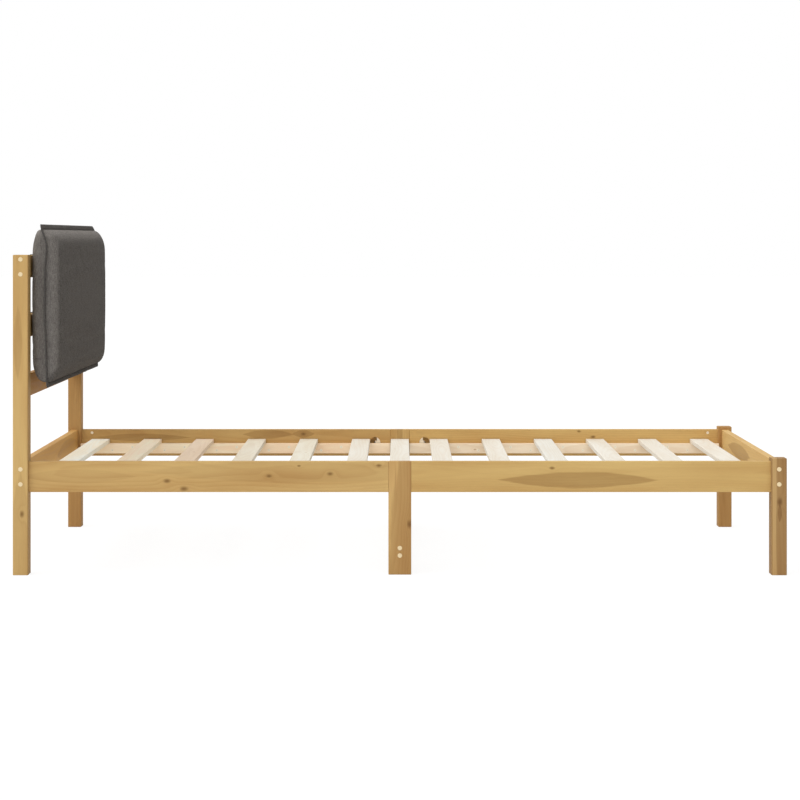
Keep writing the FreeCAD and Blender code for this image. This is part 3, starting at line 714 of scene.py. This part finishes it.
def puff(made, voxel, pressure, cap):
    """Swell a stuffed piece by a short cloth simulation, with each point's way capped."""
    bpy.context.view_layer.objects.active = made
    made.select_set(True)
    remesh = made.modifiers.new("even_mesh", "REMESH")
    remesh.mode = "VOXEL"
    remesh.voxel_size = voxel
    bpy.ops.object.modifier_apply(modifier=remesh.name)
    start = np.array([v.co for v in made.data.vertices])
    cloth = made.modifiers.new("stuffing", "CLOTH")
    cloth.settings.use_pressure = True
    cloth.settings.uniform_pressure_force = pressure
    cloth.settings.effector_weights.gravity = 0
    cloth.settings.quality = 5
    cloth.settings.tension_stiffness = 25
    cloth.settings.compression_stiffness = 12
    cloth.settings.bending_stiffness = 0.4
    scene = bpy.context.scene
    for number in range(1, SIM_FRAMES + 1):
        scene.frame_set(number)
    bpy.ops.object.modifier_apply(modifier=cloth.name)
    scene.frame_set(1)
    moved = np.array([v.co for v in made.data.vertices]) - start
    way = np.linalg.norm(moved, axis=1, keepdims=True)
    moved *= np.minimum(1.0, cap / np.maximum(way, 1e-9))
    made.data.vertices.foreach_set("co", (start + moved).astype(np.float32).ravel())
    made.select_set(False)
    smooth(made)


def settle(made):
    """Bring both faces to their depths before and behind the seam."""
    depths = np.array([v.co.x for v in made.data.vertices]) - SEAM_X
    front = FRONT_DEPTH / depths.max()
    back = -BACK_DEPTH / depths.min()
    for vertex, depth in zip(made.data.vertices, depths):
        vertex.co.x = SEAM_X + depth * (front if depth > 0 else back)


def ease(low, high, value):
    """A smooth step from 0 at low to 1 at high."""
    share = min(1.0, max(0.0, (value - low) / (high - low)))
    return share * share * (3 - 2 * share)


def seam_shift(y, z):
    """How far the seam lies before its plane, z above the cushion's middle.

    Low down it kicks forward; at the top it folds back, further and sooner at the near end.
    """
    near = ease(-NEAR_FROM, -HALF_Y, y)
    kick = KICK_SLOPE * max(0.0, -KICK_FROM - z)
    bow = BOW * near * ease(BOW_FROM, BOW_TO, z)
    fold = (FOLD + FOLD_MORE * near) * ease(FOLD_FROM - FOLD_SOONER * near, HALF_Z + FLANGE, z)
    return SEAM_AHEAD + kick + bow - fold


def bend_seam(made):
    """Move the body's seam onto its bent line, and its faces not at all."""
    for vertex in made.data.vertices:
        share = max(0.0, 1 - abs(vertex.co.x - SEAM_X) / BACK_DEPTH)
        vertex.co.x += seam_shift(vertex.co.y, vertex.co.z - MIDDLE_Z) * share


def flange_x(y, z, side, out):
    """Where the middle of the flange lies, with its bend and its waves."""
    wave = noise.noise(Vector((y * WAVES_PER_METRE, z * WAVES_PER_METRE, side + 0.5)))
    slack = max(0.0, out / FLANGE)
    return SEAM_X + seam_shift(y, z) + WAVE * wave * slack


def flange_ring(material, edge_shade_material):
    """The flat flange of two layers, mitred at its corners and slightly wavy, with its folded edge painted
    dark as shade.
    """
    root, shoulder, fold = -0.006, 0.011, 0.0132
    fold_half = 0.0010
    profile = [(root, FLANGE_HALF), (shoulder, FLANGE_HALF), (fold, fold_half), (FLANGE, 0.0),
               (fold, -fold_half), (shoulder, -FLANGE_HALF), (root, -FLANGE_HALF)]
    # The rows of the folded edge, which take the thread's colour as painted shade
    painted_edge_rows = (2, 3)
    steps = 90
    vertices = []
    for side, (start, end) in enumerate(zip(CORNERS, CORNERS[1:] + CORNERS[:1])):
        for step in range(steps):
            share = step / steps
            cy = start[0] + (end[0] - start[0]) * share
            cz = start[1] + (end[1] - start[1]) * share
            for out, thick in profile:
                y = cy * (HALF_Y + out)
                z = cz * (HALF_Z + out)
                vertices.append((flange_x(y, z, side, out) + thick, y, MIDDLE_Z + z))
    count = len(CORNERS) * steps
    rows = len(profile)
    faces = []
    for k in range(count):
        for r in range(rows):
            a, b = k * rows, (k + 1) % count * rows
            faces.append([a + r, a + (r + 1) % rows, b + (r + 1) % rows, b + r])
    made = mesh_object("cushion_flange", vertices, faces, material)
    made.data.materials.append(edge_shade_material)
    for polygon in made.data.polygons:
        if polygon.index % rows in painted_edge_rows:
            polygon.material_index = 1
    smooth(made)
    return made


def tube(name, path, radius, material):
    """A round thread along a level path, closed at its ends."""
    sides = 8
    vertices = []
    for k, point in enumerate(path):
        ahead = path[min(k + 1, len(path) - 1)] - path[max(k - 1, 0)]
        across = ahead.cross(Vector((0, 0, 1))).normalized()
        up = across.cross(ahead).normalized()
        for side in range(sides):
            turn = 2 * math.pi * side / sides
            vertices.append(point + radius * (across * math.cos(turn) + up * math.sin(turn)))
    faces = [list(range(sides))[::-1], list(range(len(vertices) - sides, len(vertices)))]
    for k in range(len(path) - 1):
        for side in range(sides):
            a, b = k * sides + side, k * sides + (side + 1) % sides
            faces.append([a, b, b + sides, a + sides])
    made = mesh_object(name, vertices, faces, material)
    face_outward(made)
    smooth(made)
    return made


def flange_stitches(material):
    """A row of short stitches on each face of the flange, close to the body."""
    out, pitch, length, half = 0.0035, 0.0045, 0.0032, 0.0004
    reach_y, reach_z = HALF_Y + out, HALF_Z + out
    corners = [Vector((y * reach_y, z * reach_z)) for y, z in CORNERS]
    diamond = ((-0.5, 0, 0), (0, half, 0), (0.5, 0, 0), (0, -half, 0), (0, 0, half))
    vertices = []
    faces = []
    for side, (start, end) in enumerate(zip(corners, corners[1:] + corners[:1])):
        along = (end - start).normalized()
        across = Vector((-along.y, along.x))
        for k in range(int((end - start).length / pitch)):
            middle = start + along * (k + 0.5) * pitch
            x = flange_x(middle.x, middle.y, side, out)
            for way in (1, -1):
                first = len(vertices)
                for step_along, step_across, lift in diamond:
                    place = middle + along * step_along * length + across * step_across
                    vertices.append((x + way * (FLANGE_HALF + lift), place.x, MIDDLE_Z + place.y))
                for a, b in ((0, 1), (1, 2), (2, 3), (3, 0)):
                    faces.append([first + a, first + b, first + 4][::way])
                faces.append([first, first + 3, first + 2, first + 1][::way])
    made = mesh_object("cushion_stitches", vertices, faces, material)
    face_outward(made)
    return made


def zip_line(body, material):
    """The closed zip seam that runs round the back half, low down."""
    tree = BVHTree.FromObject(body, bpy.context.evaluated_depsgraph_get())
    far = 2.0
    steps_side, steps_back = 6, 80
    rays = []
    for behind in np.linspace(*ZIP_BEHIND, steps_side):
        rays.append(((SEAM_X - behind, -far, ZIP_Z), (0, 1, 0)))
    for y in np.linspace(ZIP_INSET - HALF_Y, HALF_Y - ZIP_INSET, steps_back):
        rays.append(((SEAM_X - far, y, ZIP_Z), (1, 0, 0)))
    for behind in np.linspace(*ZIP_BEHIND[::-1], steps_side):
        rays.append(((SEAM_X - behind, far, ZIP_Z), (0, -1, 0)))
    path = [tree.ray_cast(Vector(start), Vector(way))[0] for start, way in rays]
    return tube("cushion_zip_seam", path, ZIP_RADIUS, material)


def make_cushion():
    """The stuffed body, its flange, stitches and zip seam, in place of the covers and the foam."""
    body = cushion_form(fabric_material("cushion_weave_painted_light", 1.0, PANEL_PAINTED_SHADE, BACK_PAINTED_SHADE, TOP_PAINTED_HIGHLIGHT))
    puff(body, VOXEL, PRESSURE, SWELLING)
    settle(body)
    bend_seam(body)
    rounder = body.modifiers.new("rounder", "SMOOTH")
    rounder.factor = 0.45
    rounder.iterations = 1
    # The thread's colour serves the stitches and zip, and paints the flange's folded edge as shade
    thread = matt_material("cushion_thread_and_edge_shade", THREAD_AND_EDGE_SHADE)
    # The flange's cloth is painted darker as shade, most along its bottom
    flange = flange_ring(fabric_material("flange_weave_painted_shade", FLANGE_PAINTED_SHADE, FLANGE_LOW_PAINTED_SHADE, 1.0, 1.0), thread)
    stitches = flange_stitches(thread)
    zip_seam = zip_line(body, thread)
    for piece in (body, flange, stitches, zip_seam):
        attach(piece, ROOT)
    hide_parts("cushion_front_cover", "cushion_back_cover", "cushion_foam_core")


# Stage

def make_floor():
    """A pale floor that keeps a faint shadow."""
    graph = Graph("pale_floor")
    seen = graph.seen()
    shine = graph.math("MULTIPLY", seen, FLOOR_GLOW)
    glow = graph.node("Emission", {"Color": WHITE, "Strength": shine})
    bounce = graph.mix(seen, FLOOR_BOUNCE, FLOOR_SEEN)
    matt = graph.node("BsdfDiffuse", {"Color": bounce})
    both = graph.node("AddShader", {0: glow.outputs[0], 1: matt.outputs[0]})
    graph.node("OutputMaterial", {"Surface": both.outputs[0]})
    corners = [(x * FLOOR_REACH, y * FLOOR_REACH, 0) for x, y in CORNERS]
    floor = mesh_object("floor", corners, [(0, 1, 2, 3)], graph.material)


def make_world():
    """Soft light all round, stronger from the head's end and from above."""
    world = bpy.data.worlds.new("studio")
    world.use_nodes = True
    bpy.context.scene.world = world
    sky = Graph.of_tree(world.node_tree)
    way = sky.node("TexCoord").outputs["Generated"]
    along, _, up = sky.node("SeparateXYZ", {0: way}).outputs
    soft = sky.math("MULTIPLY_ADD", along, -WORLD_FALL, WORLD_STRENGTH)
    soft = sky.math("MULTIPLY_ADD", up, WORLD_RISE, soft)
    strength = sky.span(sky.seen(), 0.0, 1.0, soft, 1.0, smooth=False)
    glow = sky.node("Background", {"Color": WHITE, "Strength": strength})
    sky.node("OutputWorld", {"Surface": glow.outputs[0]})


def make_lights():
    """Wide suns from the upper left and from the front."""
    for name, (towards, strength, spread) in LIGHTS.items():
        light = bpy.data.lights.new(name, "SUN")
        light.energy = strength
        light.angle = math.radians(spread)
        lamp = bpy.data.objects.new(name, light)
        lamp.rotation_euler = Vector(towards).to_track_quat("Z", "Y").to_euler()
        bpy.context.scene.collection.objects.link(lamp)


def make_camera():
    """The photograph's camera, with colours shown as they are."""
    scene = bpy.context.scene
    scene.view_settings.view_transform = "Standard"
    camera = bpy.data.objects.new("camera", bpy.data.cameras.new("camera"))
    camera.location = CAMERA_AT
    camera.rotation_euler = (math.pi / 2, 0, 0)
    camera.data.lens = LENS_MM
    camera.data.sensor_width = SENSOR_MM
    camera.data.shift_x, camera.data.shift_y = SHIFT
    scene.collection.objects.link(camera)
    scene.camera = camera


make_floor()
make_world()
make_lights()
make_camera()
dress_timber()
dress_small_pieces()
make_cushion()
